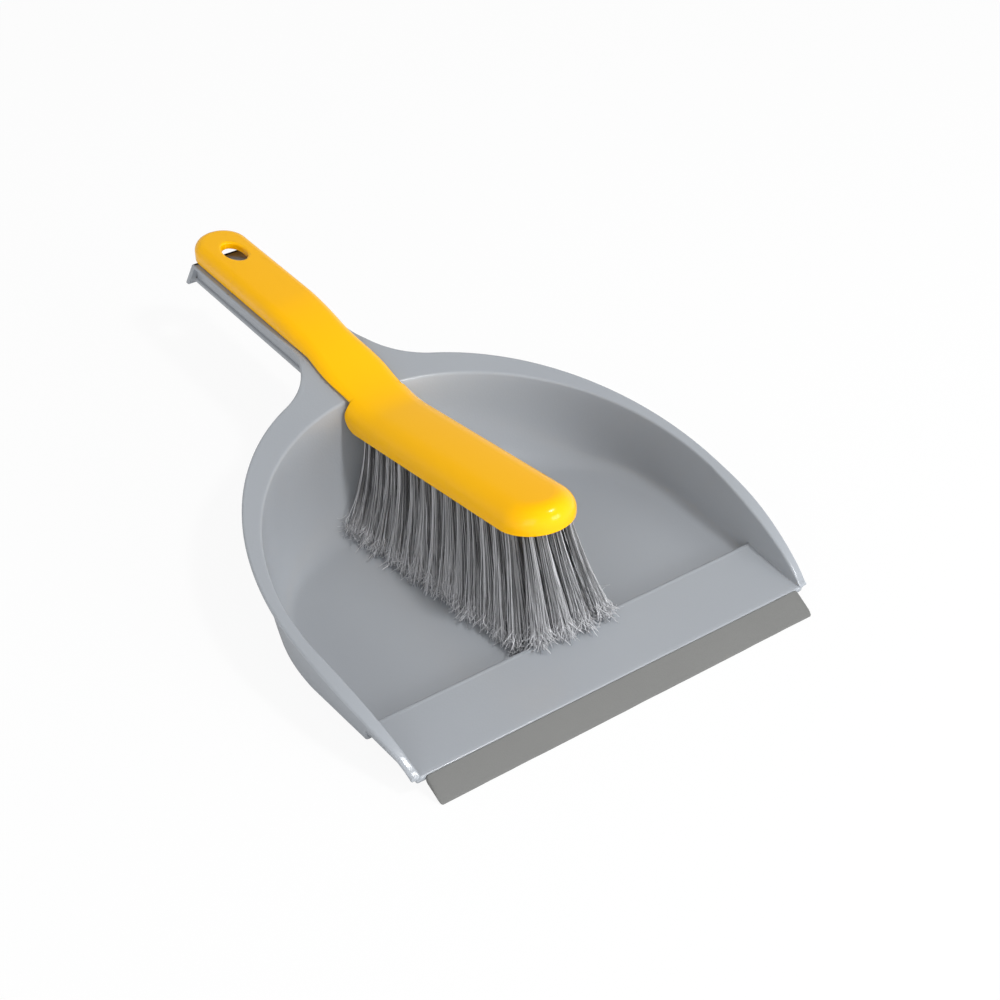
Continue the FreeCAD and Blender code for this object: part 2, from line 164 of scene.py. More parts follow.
def rim_height(y):
    """Top of the rim over y: level, then an 8 degree slope, then one cubic down to the front."""
    bend = HANDLE_TOP - (LEVEL_FROM - RIM_BEND) * SLOPE
    pull = (RIM_BEND - FRONT) * 0.45
    t = np.linspace(0, 1, 300)
    low = FRONT_TOP + 0.2
    cy = cubic(FRONT, FRONT + 7.8, RIM_BEND - pull, RIM_BEND, t)
    cz = cubic(low, low + 9.1, bend - pull * SLOPE, bend, t)
    straight = HANDLE_TOP - np.maximum(LEVEL_FROM - y, 0) * SLOPE
    return np.where(y < RIM_BEND, np.interp(y, cy, cz), straight)


def wall_at(s, z, offset):
    """Wall outline at height z.

    A cubic quarter curve goes from the back's middle to where the side starts, and runs straight
    on to WIDEST at s = SIDE_SHARE; from there the side is straight to the front at s = 1.
    """
    half = TRAY_HALF + WALL_SPREAD * z / 60 + offset
    back = np.polyval(BACK_CURVE, z) + offset
    start, full = np.polyval(SIDE_CURVE, z), np.polyval(FULL_CURVE, z)
    speed = 3 * (back - start) * full
    u = np.clip(s / SIDE_SHARE, 0, 1) * (1 + (start - WIDEST) / speed)
    t = np.minimum(u, 1)
    r = np.clip((s - SIDE_SHARE) / (1 - SIDE_SHARE), 0, 1)
    y = cubic(back, back, start + (back - start) * full, start, t) - (u - t) * speed + (FRONT - WIDEST) * r
    x = cubic(0, half * full, half, half, t) - TAPER * np.clip((start - y) / (start - FRONT), 0, 1)
    return point(x, y, z)


def wall_top(s, offset, drop):
    """Height at which the wall meets the rim lowered by drop: z = rim(y(s, z)) - drop, repeated."""
    z = np.full_like(s, 30.0)
    for _ in range(25):
        z = rim_height(wall_at(s, z, offset)[..., 1]) - drop
    return z


def rim_outline(s):
    """Outer edge of flange and handle plate: half the cut, handle side, hollow corner, arch, side."""
    t = np.linspace(1, 0, 800)
    reach = RIM_BACK - RIM_WIDEST
    ax = cubic(0, RIM_HALF * RIM_FULLNESS, RIM_HALF, RIM_HALF, 1 - t)
    ay = cubic(RIM_BACK, RIM_BACK, RIM_WIDEST + reach * RIM_FULLNESS, RIM_WIDEST, 1 - t)
    dx, dy = np.gradient(ax), np.gradient(ay)
    size = np.hypot(dx, dy)
    cx, cy = ax - dy / size * HOLLOW, ay + dx / size * HOLLOW
    k = int(np.argmin(np.abs(cx - PLATE_HALF - HOLLOW) + (ax > 90) * 99))
    turn = np.linspace(math.pi, math.atan2(ay[k] - cy[k], ax[k] - cx[k]) % (2 * math.pi), 40)
    hx, hy = cx[k] + HOLLOW * np.cos(turn), cy[k] + HOLLOW * np.sin(turn)
    u = np.linspace(0, 1, 60)
    pull = (RIM_WIDEST - FRONT) * 0.45
    front = RIM_HALF - RIM_INSET
    fx = cubic(RIM_HALF, RIM_HALF, front + RIM_FRONT_PULL, front, u)
    fy = cubic(RIM_WIDEST, RIM_WIDEST - pull, FRONT + pull, FRONT, u)
    runs = ([(0, PLATE_CUT), (PLATE_HALF, PLATE_CUT)], [(PLATE_HALF, PLATE_CUT), (PLATE_HALF, hy[0])],
            np.stack([hx, hy], -1), np.stack([ax[k:], ay[k:]], -1), np.stack([fx, fy], -1))
    stops = (0.0, 0.018, 0.06, 0.15, SIDE_SHARE + 0.01, 1.0)
    out = np.zeros(s.shape + (2,))
    for run, low, high in zip(runs, stops[:-1], stops[1:]):
        run = np.array(run, float)
        length = np.concatenate([[0], np.cumsum(np.hypot(*np.diff(run, axis=0).T))])
        inside = (s >= low) & (s <= high)
        along = (s[inside] - low) / (high - low) * length[-1]
        out[inside, 0] = np.interp(along, length, run[:, 0])
        out[inside, 1] = np.interp(along, length, run[:, 1])
    return out


def pan_rows():
    """Rows from the back's middle to the front edge: place s, floor height, underside, corner radius."""
    def place(y):
        return SIDE_SHARE + (1 - SIDE_SHARE) * (np.asarray(y, float) - WIDEST) / (FRONT - WIDEST)

    back = np.concatenate([np.linspace(0, 0.018, 5)[:-1], np.linspace(0.018, 0.06, 9)[:-1],
                           np.linspace(0.06, 0.15, 20)[:-1], np.linspace(0.15, SIDE_SHARE, 80)[:-1]])
    middle = place(np.linspace(WIDEST, CREST + 2.0, 14))
    ramp = np.linspace(CREST - 4.5, FRONT + 1.0, 22)
    under_ramp = CREST_TOP - FLOOR - 0.6
    step = [(CREST + 0.6, FLOOR, 0.0), (CREST + 0.1, FLOOR + 0.1, 0.0), (CREST, FLOOR + 0.7, 0.15),
            (CREST, CREST_TOP - 1.5, 0.3), (CREST - 0.2, CREST_TOP - 0.75, 0.5), (CREST - 0.75, CREST_TOP - 0.2, 1.0),
            (CREST - 1.5, CREST_TOP - 0.03, 1.8), (CREST - 2.4, CREST_TOP - 0.06, 3.2),
            (CREST - 2.45, CREST_TOP - 0.08, under_ramp), (CREST - 3.2, CREST_TOP - 0.1, under_ramp)]
    step = np.array(step)
    slide = (ramp - CREST) / (FRONT - CREST)
    s = np.concatenate([back, middle, place(step[:, 0]), place(ramp)])
    floor = np.concatenate([np.full(len(back) + len(middle), FLOOR), step[:, 1],
                            CREST_TOP + (FRONT_TOP - CREST_TOP) * slide])
    under = np.concatenate([np.zeros(len(back) + len(middle)), step[:, 2],
                            under_ramp + (FRONT_TOP - CREST_TOP) * slide])
    corner = np.where(floor > FLOOR + 0.2, 0.8, 6.0)
    return s, floor, under, corner


def pan_shell():
    """Tray, ramp, flange and most of the handle plate as one closed skin.

    Each row goes from the middle of the floor out to the wall, up it, over the rounded rim and
    along the flange to its edge; the outer side goes from the middle of the underside up to the
    same edge. The front is closed by drawing the two sides together over a quarter circle.
    """
    s, floor, under, corner = pan_rows()
    n = len(s)
    plan = rim_outline(s)
    zero = np.zeros(n)

    def wall_run(offset, base, radius, drop, edge, steps):
        top_z = wall_top(s, offset, drop)
        tall = np.maximum(top_z - base, 0.02)
        radius = np.minimum(radius, tall * 0.45)
        edge = np.minimum(edge, tall * 0.3)
        foot = wall_at(s, base, offset)
        start = wall_at(s, base + radius, offset)
        ahead = wall_at(np.minimum(s + 0.002, 1), base, offset) - wall_at(np.minimum(s + 0.002, 1) - 0.004, base, offset)
        inward = np.stack([ahead[:, 1], -ahead[:, 0], zero], -1)
        inward /= np.linalg.norm(inward, axis=1)[:, None]
        inward *= np.where(inward[:, :1] > 0, -1, 1)
        inward[0] = (0, -1, 0)
        inner = foot + inward * radius[:, None]
        inner[:, 0] = np.maximum(inner[:, 0], 0)
        middle = inner * (0, 1, 1)
        t = np.linspace(0, 1, steps, endpoint=False)
        low, high = (base + radius)[:, None], (top_z - edge)[:, None]
        wall = wall_at(s[:, None], low + (high - low) * t, offset)
        return middle, inner, foot, start, wall, wall_at(s, top_z - edge, offset), wall_at(s, top_z, offset), edge

    def flange_run(a, b, drop, steps):
        flat = between(a, b, steps)
        flat[..., 2] = rim_height(flat[..., 1]) - drop
        return flat

    mid, inner, foot, start, wall, top_low, top, edge = wall_run(0.0, floor, corner, 0.0, 1.3, 9)
    outline = point(plan[:, 0], plan[:, 1], zero)
    away = outline - top * (1, 1, 0)
    away /= np.maximum(np.linalg.norm(away, axis=1), 1e-6)[:, None]
    free = ((s > 0.0179) * 1.0)[:, None]
    lip_in = top + away * edge[:, None]
    lip_in[:, 2] = rim_height(lip_in[:, 1])
    side = np.gradient(plan, axis=0)
    side = np.stack([-side[:, 1], side[:, 0]], -1)
    side /= np.maximum(np.linalg.norm(side, axis=1), 1e-9)[:, None]
    side = point(side[:, 0], side[:, 1], 0) * free
    side *= np.where(np.sum(side * away, axis=1) < 0, -1, 1)[:, None]
    height = point(zero, zero, rim_height(plan[:, 1]))
    near = outline - side * 1.0 + height
    upper = outline + height
    lower = outline + height - (0, 0, RIM_THICK)
    waist = (upper + lower) / 2
    inside = np.concatenate([
        between(mid, inner, 8), rounded(inner, foot, start, 6), wall, rounded(top_low, top, lip_in, 5),
        flange_run(lip_in, near, 0.0, 9), rounded(near, upper, waist, 5), waist[:, None]], axis=1)

    mid, inner, foot, start, wall, top_low, top, edge = wall_run(WALL, under, np.full(n, 2.6), RIM_THICK, 1.2, 9)
    under_in = top + away * edge[:, None]
    under_in[:, 2] = rim_height(under_in[:, 1]) - RIM_THICK
    near = near - (0, 0, RIM_THICK)
    outside = np.concatenate([
        between(mid, inner, 8), rounded(inner, foot, start, 6), wall, rounded(top_low, top, under_in, 5),
        flange_run(under_in, near, RIM_THICK, 9), rounded(near, lower, waist, 5), waist[:, None]], axis=1)

    for turn in np.radians((25, 50, 70, 90)):
        centre = (inside[n - 1] + outside[n - 1]) / 2
        pinch = math.cos(turn)
        ahead = (0, -math.sin(turn), 0)
        inside = np.concatenate([inside, (centre + (inside[n - 1] - centre) * pinch + ahead)[None]])
        outside = np.concatenate([outside, (centre + (outside[n - 1] - centre) * pinch + ahead)[None]])
    return surface("pan_shell", [inside, outside], mirror=True)


def outline_ring(half, y0, y1, n, round_end):
    """Outline of a handle part, n points counted round from the front's middle."""
    t = np.linspace(0, 1, n)
    if round_end:
        straight = y1 - half - y0
        length = 2 * half + 2 * straight + math.pi * half
        stops = np.cumsum([0, half, straight, math.pi * half, straight, half]) / length
        a = (t - stops[2]) / (stops[3] - stops[2]) * math.pi
        arc = (t > stops[2]) & (t < stops[3])
        x = np.interp(t, stops, (0, half, half, -half, -half, 0))
        y = np.interp(t, stops, (y0, y0, y1 - half, y1 - half, y0, y0))
        x = np.where(arc, half * np.cos(a), x)
        y = np.where(arc, y1 - half + half * np.sin(a), y)
    else:
        long = y1 - y0
        stops = np.cumsum([0, half, long, 2 * half, long, half]) / (4 * half + 2 * long)
        x = np.interp(t, stops, (0, half, half, -half, -half, 0))
        y = np.interp(t, stops, (y0, y0, y1, y1, y0, y0))
    return np.stack([x, y], -1)


def slot_ring(outer, half, reach):
    """Oval hanging slot round (0, SLOT_Y), each point at the bearing of its outer point."""
    turn = np.unwrap(np.arctan2(outer[:, 0] / half, -(outer[:, 1] - SLOT_Y) / reach))
    return np.stack([half * np.sin(turn), SLOT_Y - reach * np.cos(turn)], -1)


def handle_end():
    """Rear part of the handle plate: a band of constant thickness round the hanging slot."""
    outer = outline_ring(PLATE_HALF, PLATE_CUT, PLATE_END, 181, False)
    slot = slot_ring(outer, 10.0, 13.5)
    free = (np.abs(outer[:, 1] - PLATE_CUT) > 1e-6) * 0.8
    centre = np.array((0, 224.0))
    inward = np.clip((centre - outer) / (PLATE_HALF, 19.0), -1, 1)
    inward = np.where(np.abs(inward) > 0.98, np.sign(inward), 0)
    z1, z0 = HANDLE_TOP, HANDLE_TOP - RIM_THICK
    o = [outer + inward * free[:, None], outer]
    away = slot - (0, SLOT_Y)
    away /= np.linalg.norm(away, axis=1)[:, None]
    i = [slot + away * 0.7, slot]

    def lift(p, z):
        return point(p[:, 0], p[:, 1], z)

    ring = [rounded(lift(i[1], (z0 + z1) / 2), lift(i[1], z1), lift(i[0], z1), 5),
            between(lift(i[0], z1), lift(o[0], z1), 6),
            rounded(lift(o[0], z1), lift(o[1], z1), lift(o[1], (z0 + z1) / 2), 5),
            rounded(lift(o[1], (z0 + z1) / 2), lift(o[1], z0), lift(o[0], z0), 5),
            between(lift(o[0], z0), lift(i[0], z0), 6),
            rounded(lift(i[0], z0), lift(i[1], z0), lift(i[1], (z0 + z1) / 2), 5)]
    band = np.concatenate(ring, axis=1)
    return surface("pan_handle_end", [np.concatenate([band, band[:, :1]], axis=1)])


def closed_loop(x, z):
    """Closes a profile by repeating its first point."""
    return np.append(x, x[0]), np.append(z, z[0])


def handle_ribs():
    """Side walls of the handle, a beaded profile carried along Y under the sloping plate."""
    x, z = closed_loop(np.array([14.4, 14.6, 14.6, 14.6, 15.5, 15.8, 15.8, 15.5, 14.4, 12.6, 12.4, 12.4, 12.6]),
                       np.array([1.0, 0.99, 0.6, 0.27, 0.24, 0.19, 0.06, 0.01, 0.0, 0.0, 0.05, 0.99, 1.0]))
    y = np.concatenate([np.linspace(98.2, LEVEL_FROM, 12), np.linspace(LEVEL_FROM + 4, PLATE_END - 1, 24)])
    low = HANDLE_TOP - 10.5
    top = rim_height(y) - 1.2
    rows = point(x[None, :], y[:, None], low + (top - low)[:, None] * z)
    middle = rows.mean(axis=1, keepdims=True)
    ends = [np.concatenate([middle[[k]] + rows[[k]] * 0, rows[[k]]]) for k in (0, -1)]
    return surface("pan_handle_ribs", [rows] + ends, mirror=True, sharp=50)


def rounded_block(name, low, high, radius, lean=0.0, flare=0.0, soft=0.8):
    """A block with a rounded plan and soft top and bottom edges; lean and flare act downwards."""
    (x0, y0, z0), (x1, y1, z1) = low, high
    a = np.linspace(0, 2 * math.pi, 49)
    sx, sy = np.sign(np.round(np.cos(a), 9)), np.sign(np.round(np.sin(a), 9))
    cx, cy, hx, hy = (x0 + x1) / 2, (y0 + y1) / 2, (x1 - x0) / 2, (y1 - y0) / 2
    turn = np.radians((90, 60, 30, 0))
    inset = np.concatenate([[min(hx, hy)], soft * (1 - np.cos(turn)), soft * (1 - np.cos(turn[::-1])), [min(hx, hy)]])
    level = np.concatenate([[z1], z1 - soft * (1 - np.sin(turn)), z0 + soft * (1 - np.sin(turn[::-1])), [z0]])
    rows = []
    for d, z in zip(inset, level):
        r = max(radius - d, 0.0)
        share = (z1 - z) / (z1 - z0)
        wide = hx - d + flare * share
        x = cx + sx * np.maximum(wide - r, 0) + r * np.cos(a)
        y = cy + sy * np.maximum(hy - d - r, 0) + r * np.sin(a) + lean * share
        rows.append(point(x, y, z))
    return surface(name, [np.array(rows)])


def lip_blade():
    """The soft lip: a tapering profile with a round tip, carried across X and pinched at its ends."""
    root, tip = FRONT, FRONT - 11.2
    y = np.array([root + 0.4, root - 0.2, root - 1.0, tip + 0.9, tip + 0.25, tip, tip + 0.2, tip + 0.8, root - 0.2,
                  root + 0.4])
    z = np.array([FRONT_TOP - 0.5, FRONT_TOP - 0.12, FRONT_TOP - 0.5, 1.15, 0.72, 0.4, 0.08, 0.0, 5.0, 5.2])
    y, z = closed_loop(y, z)
    x = np.concatenate([[-99.0, -98.9, -98.6], np.linspace(-98, 98, 99), [98.6, 98.9, 99.0]])
    close = np.clip((99.0 - np.abs(x)) / 0.6, 0, 1) ** 0.5
    cy, cz = (y * 0 + y.mean()), (z * 0 + z.mean())
    wave = 0.12 * np.sin(x * 0.09 + 1.0) + 0.07 * np.sin(x * 0.31)
    share = np.clip((root - y) / 11.2, 0, 1) ** 2
    rows = point(x[:, None], cy + (y - cy) * (0.6 + 0.4 * close)[:, None],
                 cz + (z - cz) * (0.5 + 0.5 * close)[:, None] + np.maximum(wave[:, None] * share, 0))
    middle = rows.mean(axis=1, keepdims=True)
    ends = [np.concatenate([middle[[k]] + rows[[k]] * 0, rows[[k]]]) for k in (0, -1)]
    return surface("lip_blade", [rows] + ends, sharp=50)


# ------------------------------------------------------------ the brush block
def head_under(y):
    """Underside of the head, rising towards the nose."""
    return HEEL_UNDER + (HEEL_LOW - y) * HEAD_SLOPE


def block_under(y):
    """Underside of the block: head, rounded heel, neck along the rim, level handle."""
    neck = HANDLE_TOP - (LEVEL_FROM - HEEL) * SLOPE + SEAT
    t = np.linspace(0, 1, 60)
    hy = cubic(HEEL_LOW, HEEL - 2.5, HEEL, HEEL, t)
    hz = cubic(HEEL_UNDER, HEEL_UNDER - 0.6, HEEL_UNDER + 5, neck, t)
    rest = rim_height(np.maximum(y, HEEL)) + SEAT
    return np.where(y < HEEL_LOW, head_under(y), np.where(y < HEEL, np.interp(y, hy, hz), rest))


def block_top(y):
    """Top line of the block: handle level, one cubic down to the neck, then parallel to the head."""
    join = HEEL_LOW - 12
    top = head_under(join) + HEAD_THICK
    t = np.linspace(0, 1, 200)
    ny = cubic(GRIP_CROWN, GRIP_CROWN - 38, join + 27, join, t)[::-1]
    nz = cubic(GRIP_TOP, GRIP_TOP, top - 27 * HEAD_SLOPE, top, t)[::-1]
    return np.where(y < join, head_under(y) + HEAD_THICK, np.interp(y, ny, nz))


def block_half(y):
    """Half width of the straight parts of the block's outline."""
    t = np.linspace(0, 1, 200)
    wy = cubic(HEAD_REAR, HEAD_REAR + 16, GRIP_FRONT - 14, GRIP_FRONT, t)
    wx = cubic(HEAD_HALF, HEAD_HALF, GRIP_HALF, GRIP_HALF, t)
    return np.interp(y, wy, wx)


def crown_radius(y):
    """Rounding of the top edges: large on the head, smaller on the handle."""
    return np.interp(y, (HEEL_LOW, GRIP_CROWN), (HEAD_CROWN, GRIP_CROWN_RADIUS))


def block_crown(x, y):
    """Slight dome of the top: it falls with the square of the way out, most on the head."""
    return -np.interp(y, (HEEL_LOW, GRIP_CROWN), (1.5, 0.5)) * (x / block_half(y)) ** 2


def side_profile(plan, normal, steps):
    """Side and rounded top edge above an outline: bottom lip, wall, then the crown's arc.

    Where the block is thinner than the arc is high, the arc starts part of the way round.
    """
    z0 = block_under(plan[:, 1])
    radius = crown_radius(plan[:, 1])[:, None]
    height = block_top(plan[:, 1]) + block_crown(plan[:, 0], plan[:, 1]) - z0 - 1.0
    first = np.arcsin(np.clip(1 - height[:, None] / radius, 0, 0.85))
    turn = first + (math.pi / 2 - first) * np.linspace(0, 1, steps)
    inset = radius * (1 - np.cos(turn))
    p = plan[:, None, :] + normal[:, None, :] * inset[..., None]
    top = block_top(p[..., 1]) + block_crown(p[..., 0], p[..., 1])
    crown = point(p[..., 0], p[..., 1], np.maximum(top - radius + radius * np.sin(turn), z0[:, None] + 1.0))
    plan = p[:, 0]
    foot = plan + normal * 0.9
    lips = [point(foot[:, 0], foot[:, 1], z0), point(plan[:, 0], plan[:, 1], z0 + 0.05)]
    base = rounded(lips[0], point(plan[:, 0], plan[:, 1], z0), point(plan[:, 0], plan[:, 1], z0 + 0.9), 4)
    wall = between(point(plan[:, 0], plan[:, 1], z0 + 0.9), crown[:, 0], 5)
    return lips[0], base, wall, crown


def brush_front():
    """Head, neck and front of the handle: half outline from the nose back, closed under and over."""
    a = np.radians(np.linspace(0, 90, 28))
    nose = np.stack([HEAD_HALF * np.sin(a), NOSE + HEAD_HALF - HEAD_HALF * np.cos(a)], -1)
    stops = np.concatenate([np.linspace(NOSE + HEAD_HALF + 2, HEEL_LOW - 1, 45), np.linspace(HEEL_LOW, HEEL, 14),
                            np.linspace(HEEL + 0.01, 149.2, 30), [149.69, 149.7], np.linspace(151, 203.5, 24),
                            [204.3, 204.31, GRIP_CUT]])
    deep = np.concatenate([np.zeros(28 + 45 + 14 + 30 + 1), np.ones(1 + 24 + 1), np.zeros(2)])
    plan = np.concatenate([nose, np.stack([block_half(stops), stops], -1)])
    along = np.gradient(plan, axis=0)
    normal = np.stack([-along[:, 1], along[:, 0]], -1)
    normal /= np.linalg.norm(normal, axis=1)[:, None]
    normal[0] = (0, 1)
    normal *= np.where(normal[:, :1] > 0, -1, 1)
    foot, base, wall, crown = side_profile(plan, normal, 9)
    edge = crown[:, -1]
    top = between(edge, edge * (0, 1, 1), 9, True)[:, 1:]
    top[..., 2] = block_top(top[..., 1]) + block_crown(top[..., 0], top[..., 1])
    wide = np.minimum(foot[:, 0], GRIP_HALF - GRIP_WALL)
    mouth = point(wide, foot[:, 1], foot[:, 2])
    roof = mouth + point(0, 0, deep * (GRIP_TOP - GRIP_ROOF - HANDLE_TOP - SEAT))
    under = np.concatenate([between(roof * (0, 1, 1), roof, 5), between(roof, mouth, 3), between(mouth, foot, 4)], 1)
    skin = np.concatenate([under, base, wall, crown, top], axis=1)
    flat = skin[-1]
    cap = np.stack([flat, flat * (0, 1, 1)], 0)
    return [skin, cap]


def brush_rear():
    """Rear of the handle: the rounded section carried round the hanging slot and the hollow."""
    outer = outline_ring(GRIP_HALF, GRIP_CUT, GRIP_END, 241, True)
    hollow = outline_ring(GRIP_HALF - GRIP_WALL, GRIP_CUT + 1.0, GRIP_END - GRIP_WALL, 241, True)
    slot = slot_ring(outer, 5.5, 10.0)
    cut = np.abs(outer[:, 1] - GRIP_CUT) < 1e-6
    y_axis = np.minimum(outer[:, 1], GRIP_END - GRIP_HALF)
    normal = np.stack([-outer[:, 0], y_axis - outer[:, 1]], -1)
    normal /= np.linalg.norm(normal, axis=1)[:, None] + 1e-9
    z0 = HANDLE_TOP + SEAT
    turn = np.linspace(0, math.pi / 2, 9)
    radius = GRIP_CROWN_RADIUS
    inset = np.where(cut[:, None], 0, 1) * radius * (1 - np.cos(turn))
    p = outer[:, None, :] + normal[:, None, :] * inset[..., None]
    top = GRIP_TOP + block_crown(p[..., 0], p[..., 1])
    rise = np.where(cut[:, None], top, top - radius + radius * np.sin(turn))
    edge_x = np.clip((GRIP_HALF - np.abs(p[..., 0])) / radius, 0, 1)
    rounded_top = top - radius + radius * np.sqrt(1 - (1 - edge_x) ** 2)
    rise = np.where(cut[:, None], rounded_top, rise)
    crown = point(p[..., 0], p[..., 1], rise)
    away = slot - (0, SLOT_Y)
    away /= np.linalg.norm(away, axis=1)[:, None]
    brim = slot + away * 1.4
    t = np.linspace(0, 1, 9)[1:]
    across = crown[:, -1, None, :2] * (1 - t)[:, None] + brim[:, None, :] * t[:, None]
    height = GRIP_TOP + block_crown(across[..., 0], across[..., 1])
    edge_x = np.clip((GRIP_HALF - np.abs(across[..., 0])) / radius, 0, 1)
    near_cut = height - radius + radius * np.sqrt(1 - (1 - edge_x) ** 2)
    height = np.where(cut[:, None], near_cut, height)
    top_flat = point(across[..., 0], across[..., 1], height)
    lip = top_flat[:, -1]
    inner_top = point(slot[:, 0], slot[:, 1], lip[:, 2])
    inner_low = point(slot[:, 0], slot[:, 1], lip[:, 2] - 1.4)
    ceiling = GRIP_TOP - GRIP_ROOF
    base = point(slot[:, 0], slot[:, 1], ceiling)
    high, mouth = point(hollow[:, 0], hollow[:, 1], ceiling), point(hollow[:, 0], hollow[:, 1], z0)
    foot = point(outer[:, 0] + normal[:, 0] * 0.9 * ~cut, outer[:, 1] + normal[:, 1] * 0.9 * ~cut, z0)
    corner = point(outer[:, 0], outer[:, 1], z0)
    up = corner + np.where(cut[:, None], 0, 1) * np.array((0, 0, 0.9))
    skin = np.concatenate([
        between(base, high, 4), between(high, mouth, 3), between(mouth, foot, 3), rounded(foot, corner, up, 4), between(up, crown[:, 0], 5), crown, top_flat,
        rounded(lip, inner_top, inner_low, 5), between(inner_low, base, 5, True)], axis=1)
    return [skin]


def brush_block():
    return surface("brush_body", brush_front_full() + brush_rear(), sharp=40)


def brush_front_full():
    """Both halves of the front part."""
    half = brush_front()
    return half + [g * (-1, 1, 1) for g in half]


# ------------------------------------------------------------ the bristles
ROWS = 14
TUFTS_X = (-12.6, -4.2, 4.2, 12.6)
ROW_FIRST = -41.5
ROW_LAST = 79.0


def ground(x, y):
    """Height of what the tips rest on: ramp, floor or the rising back wall."""
    ramp = CREST_TOP + (FRONT_TOP - CREST_TOP) * (y - CREST) / (FRONT - CREST)
    heights = np.linspace(0, 45, 120)
    reach = np.polyval(BACK_CURVE, heights)
    back = WIDEST + (y - WIDEST) / np.sqrt(1 - np.clip(x / 106.0, -0.9, 0.9) ** 2)
    wall = np.interp(back, reach, heights)
    return np.where(y < CREST + 0.3, ramp, np.maximum(FLOOR, wall))


def strands(path, radius, rng):
    """Three-sided tubes along (strand, step, 3) paths: points, faces, and each one's tone and place."""
    n, steps = path.shape[:2]
    angle = rng.uniform(0, 2 * math.pi, (n, 1)) + np.array((0, 2.0944, 4.18879))
    ring = np.stack([np.cos(angle), np.sin(angle), 0 * angle], -1)
    verts = path[:, :, None, :] + ring[:, None] * radius[..., None]
    index = np.arange(n * steps * 3).reshape(n, steps, 3)
    after = np.roll(index, -1, axis=2)
    quads = np.stack([index[:, :-1], after[:, :-1], after[:, 1:], index[:, 1:]], -1).reshape(-1, 4)
    caps = np.concatenate([index[:, 0, ::-1], index[:, -1]])
    return verts.reshape(-1, 3), quads, caps


def filaments(row, seed, count=105):
    """The bristles of one row, each with a crimped, split tip.

    A filament follows a quadratic from its hole, first square to the head and then splaying to
    its tip, plus a sine wave that grows with the cube of the way along it. A split end leaves
    every filament near its tip and curls sideways on a sine of its own.
    """
    rng = np.random.default_rng(seed)
    share = row / (ROWS - 1)
    y_row = ROW_FIRST + (ROW_LAST - ROW_FIRST) * share
    n = count * len(TUFTS_X)
    tuft = np.repeat(np.array(TUFTS_X), count) * (0.82 if row == 0 else 1.0)
    spin = rng.uniform(0, 2 * math.pi, n)
    out = np.sqrt(rng.uniform(0, 1, n))
    root_x = tuft + 2.1 * out * np.cos(spin)
    root_y = y_row + 2.1 * out * np.sin(spin)
    side = tuft / 12.6
    tip_x = side * (20.5 + 15.5 * share) + (3.9 + 0.8 * share) * out * np.cos(spin) + rng.normal(0, 1.1, n)
    tip_y = -61.8 + 117.0 * share + 3.9 * out * np.sin(spin) + rng.normal(0, 1.1, n)
    tip_y = np.minimum(tip_y - 2.0 * (1 - np.abs(side)) * (1 - share), 64.0)
    root = point(root_x, root_y, head_under(root_y) + 1.0)
    tip = point(tip_x, tip_y, ground(tip_x, tip_y) + np.abs(rng.normal(0, 1.3, n)) + 0.25)
    length = np.linalg.norm(tip - root, axis=1)[:, None]
    square = np.array((0, -HEAD_SLOPE, -1.0)) / math.hypot(1, HEAD_SLOPE)
    knee = root + square * length * 0.42 + point(tip_x - root_x, tip_y - root_y, 0) * 0.22
    t = np.linspace(0, 1, 10)[None, :, None]
    path = root[:, None] * (1 - t) ** 2 + 2 * knee[:, None] * t * (1 - t) + tip[:, None] * t * t
    phase = rng.uniform(0, 2 * math.pi, (n, 2))
    turns = rng.uniform(8.0, 16.0, (n, 1))
    grow = t[..., 0] ** 3 * rng.uniform(0.15, 1.0, (n, 1))
    path[..., 0] += grow * np.sin(turns * t[..., 0] + phase[:, :1])
    path[..., 1] += grow * np.sin(turns * t[..., 0] * 1.2 + phase[:, 1:])
    radius = rng.uniform(0.17, 0.27, (n, 1, 1)) * (1 - 0.35 * t ** 3)
    tone = np.where(rng.uniform(0, 1, n) < 0.52, rng.uniform(0.55, 1.0, n), rng.uniform(0.0, 0.4, n))

    w = np.linspace(0, 1, 6)[None, :, None]
    low = rng.uniform(0.84, 0.97, n)[:, None]
    start = root * (1 - low) ** 2 + 2 * knee * low * (1 - low) + tip * low ** 2
    bearing = rng.uniform(0, 2 * math.pi, n)
    reach = rng.uniform(1.8, 6.0, n)
    away = point(np.cos(bearing) * reach, np.sin(bearing) * reach, rng.uniform(-0.5, 3.0, n))
    bend = point(-np.sin(bearing), np.cos(bearing), 0.3)[:, None] * rng.uniform(-1.5, 1.5, (n, 1, 1))
    curl = start[:, None] + (tip - start)[:, None] * w * 0.85 + away[:, None] * w ** 1.4 + bend * np.sin(w * 4.5)
    for run in (path, curl):
        run[..., 2] = np.maximum(run[..., 2], ground(run[..., 0], run[..., 1]) + 0.2)
    hair = rng.uniform(0.14, 0.22, (n, 1, 1)) * (1 - 0.3 * w)
    first, quads, caps = strands(path, radius, rng)
    second, more_quads, more_caps = strands(curl, hair, rng)
    faces = quads.tolist() + caps.tolist() + (more_quads + len(first)).tolist() + (more_caps + len(first)).tolist()
    mesh = bpy.data.meshes.new("bristles")
    mesh.from_pydata(np.concatenate([first, second]) * MM, [], faces)
    tones = np.concatenate([np.repeat(tone, 10 * 3), np.repeat(rng.uniform(0.5, 1.0, n), 6 * 3)])
    # along runs from 0 at the root to 1 at the tip; it sets how much painted shade, standing in for the head's shadow,
    # darkens each point of a strand
    along = np.concatenate([np.tile(np.repeat(np.linspace(0, 1, 10), 3), n), np.ones(n * 6 * 3)])
    for name, values in (("tone", tones), ("along", along)):
        mesh.attributes.new(name, "FLOAT", "POINT").data.foreach_set("value", values.astype(np.float32))
    mesh.shade_smooth()
    made = bpy.data.objects.new("bristles_row_%02d" % (row + 1), mesh)
    bpy.context.scene.collection.objects.link(made)
    return made


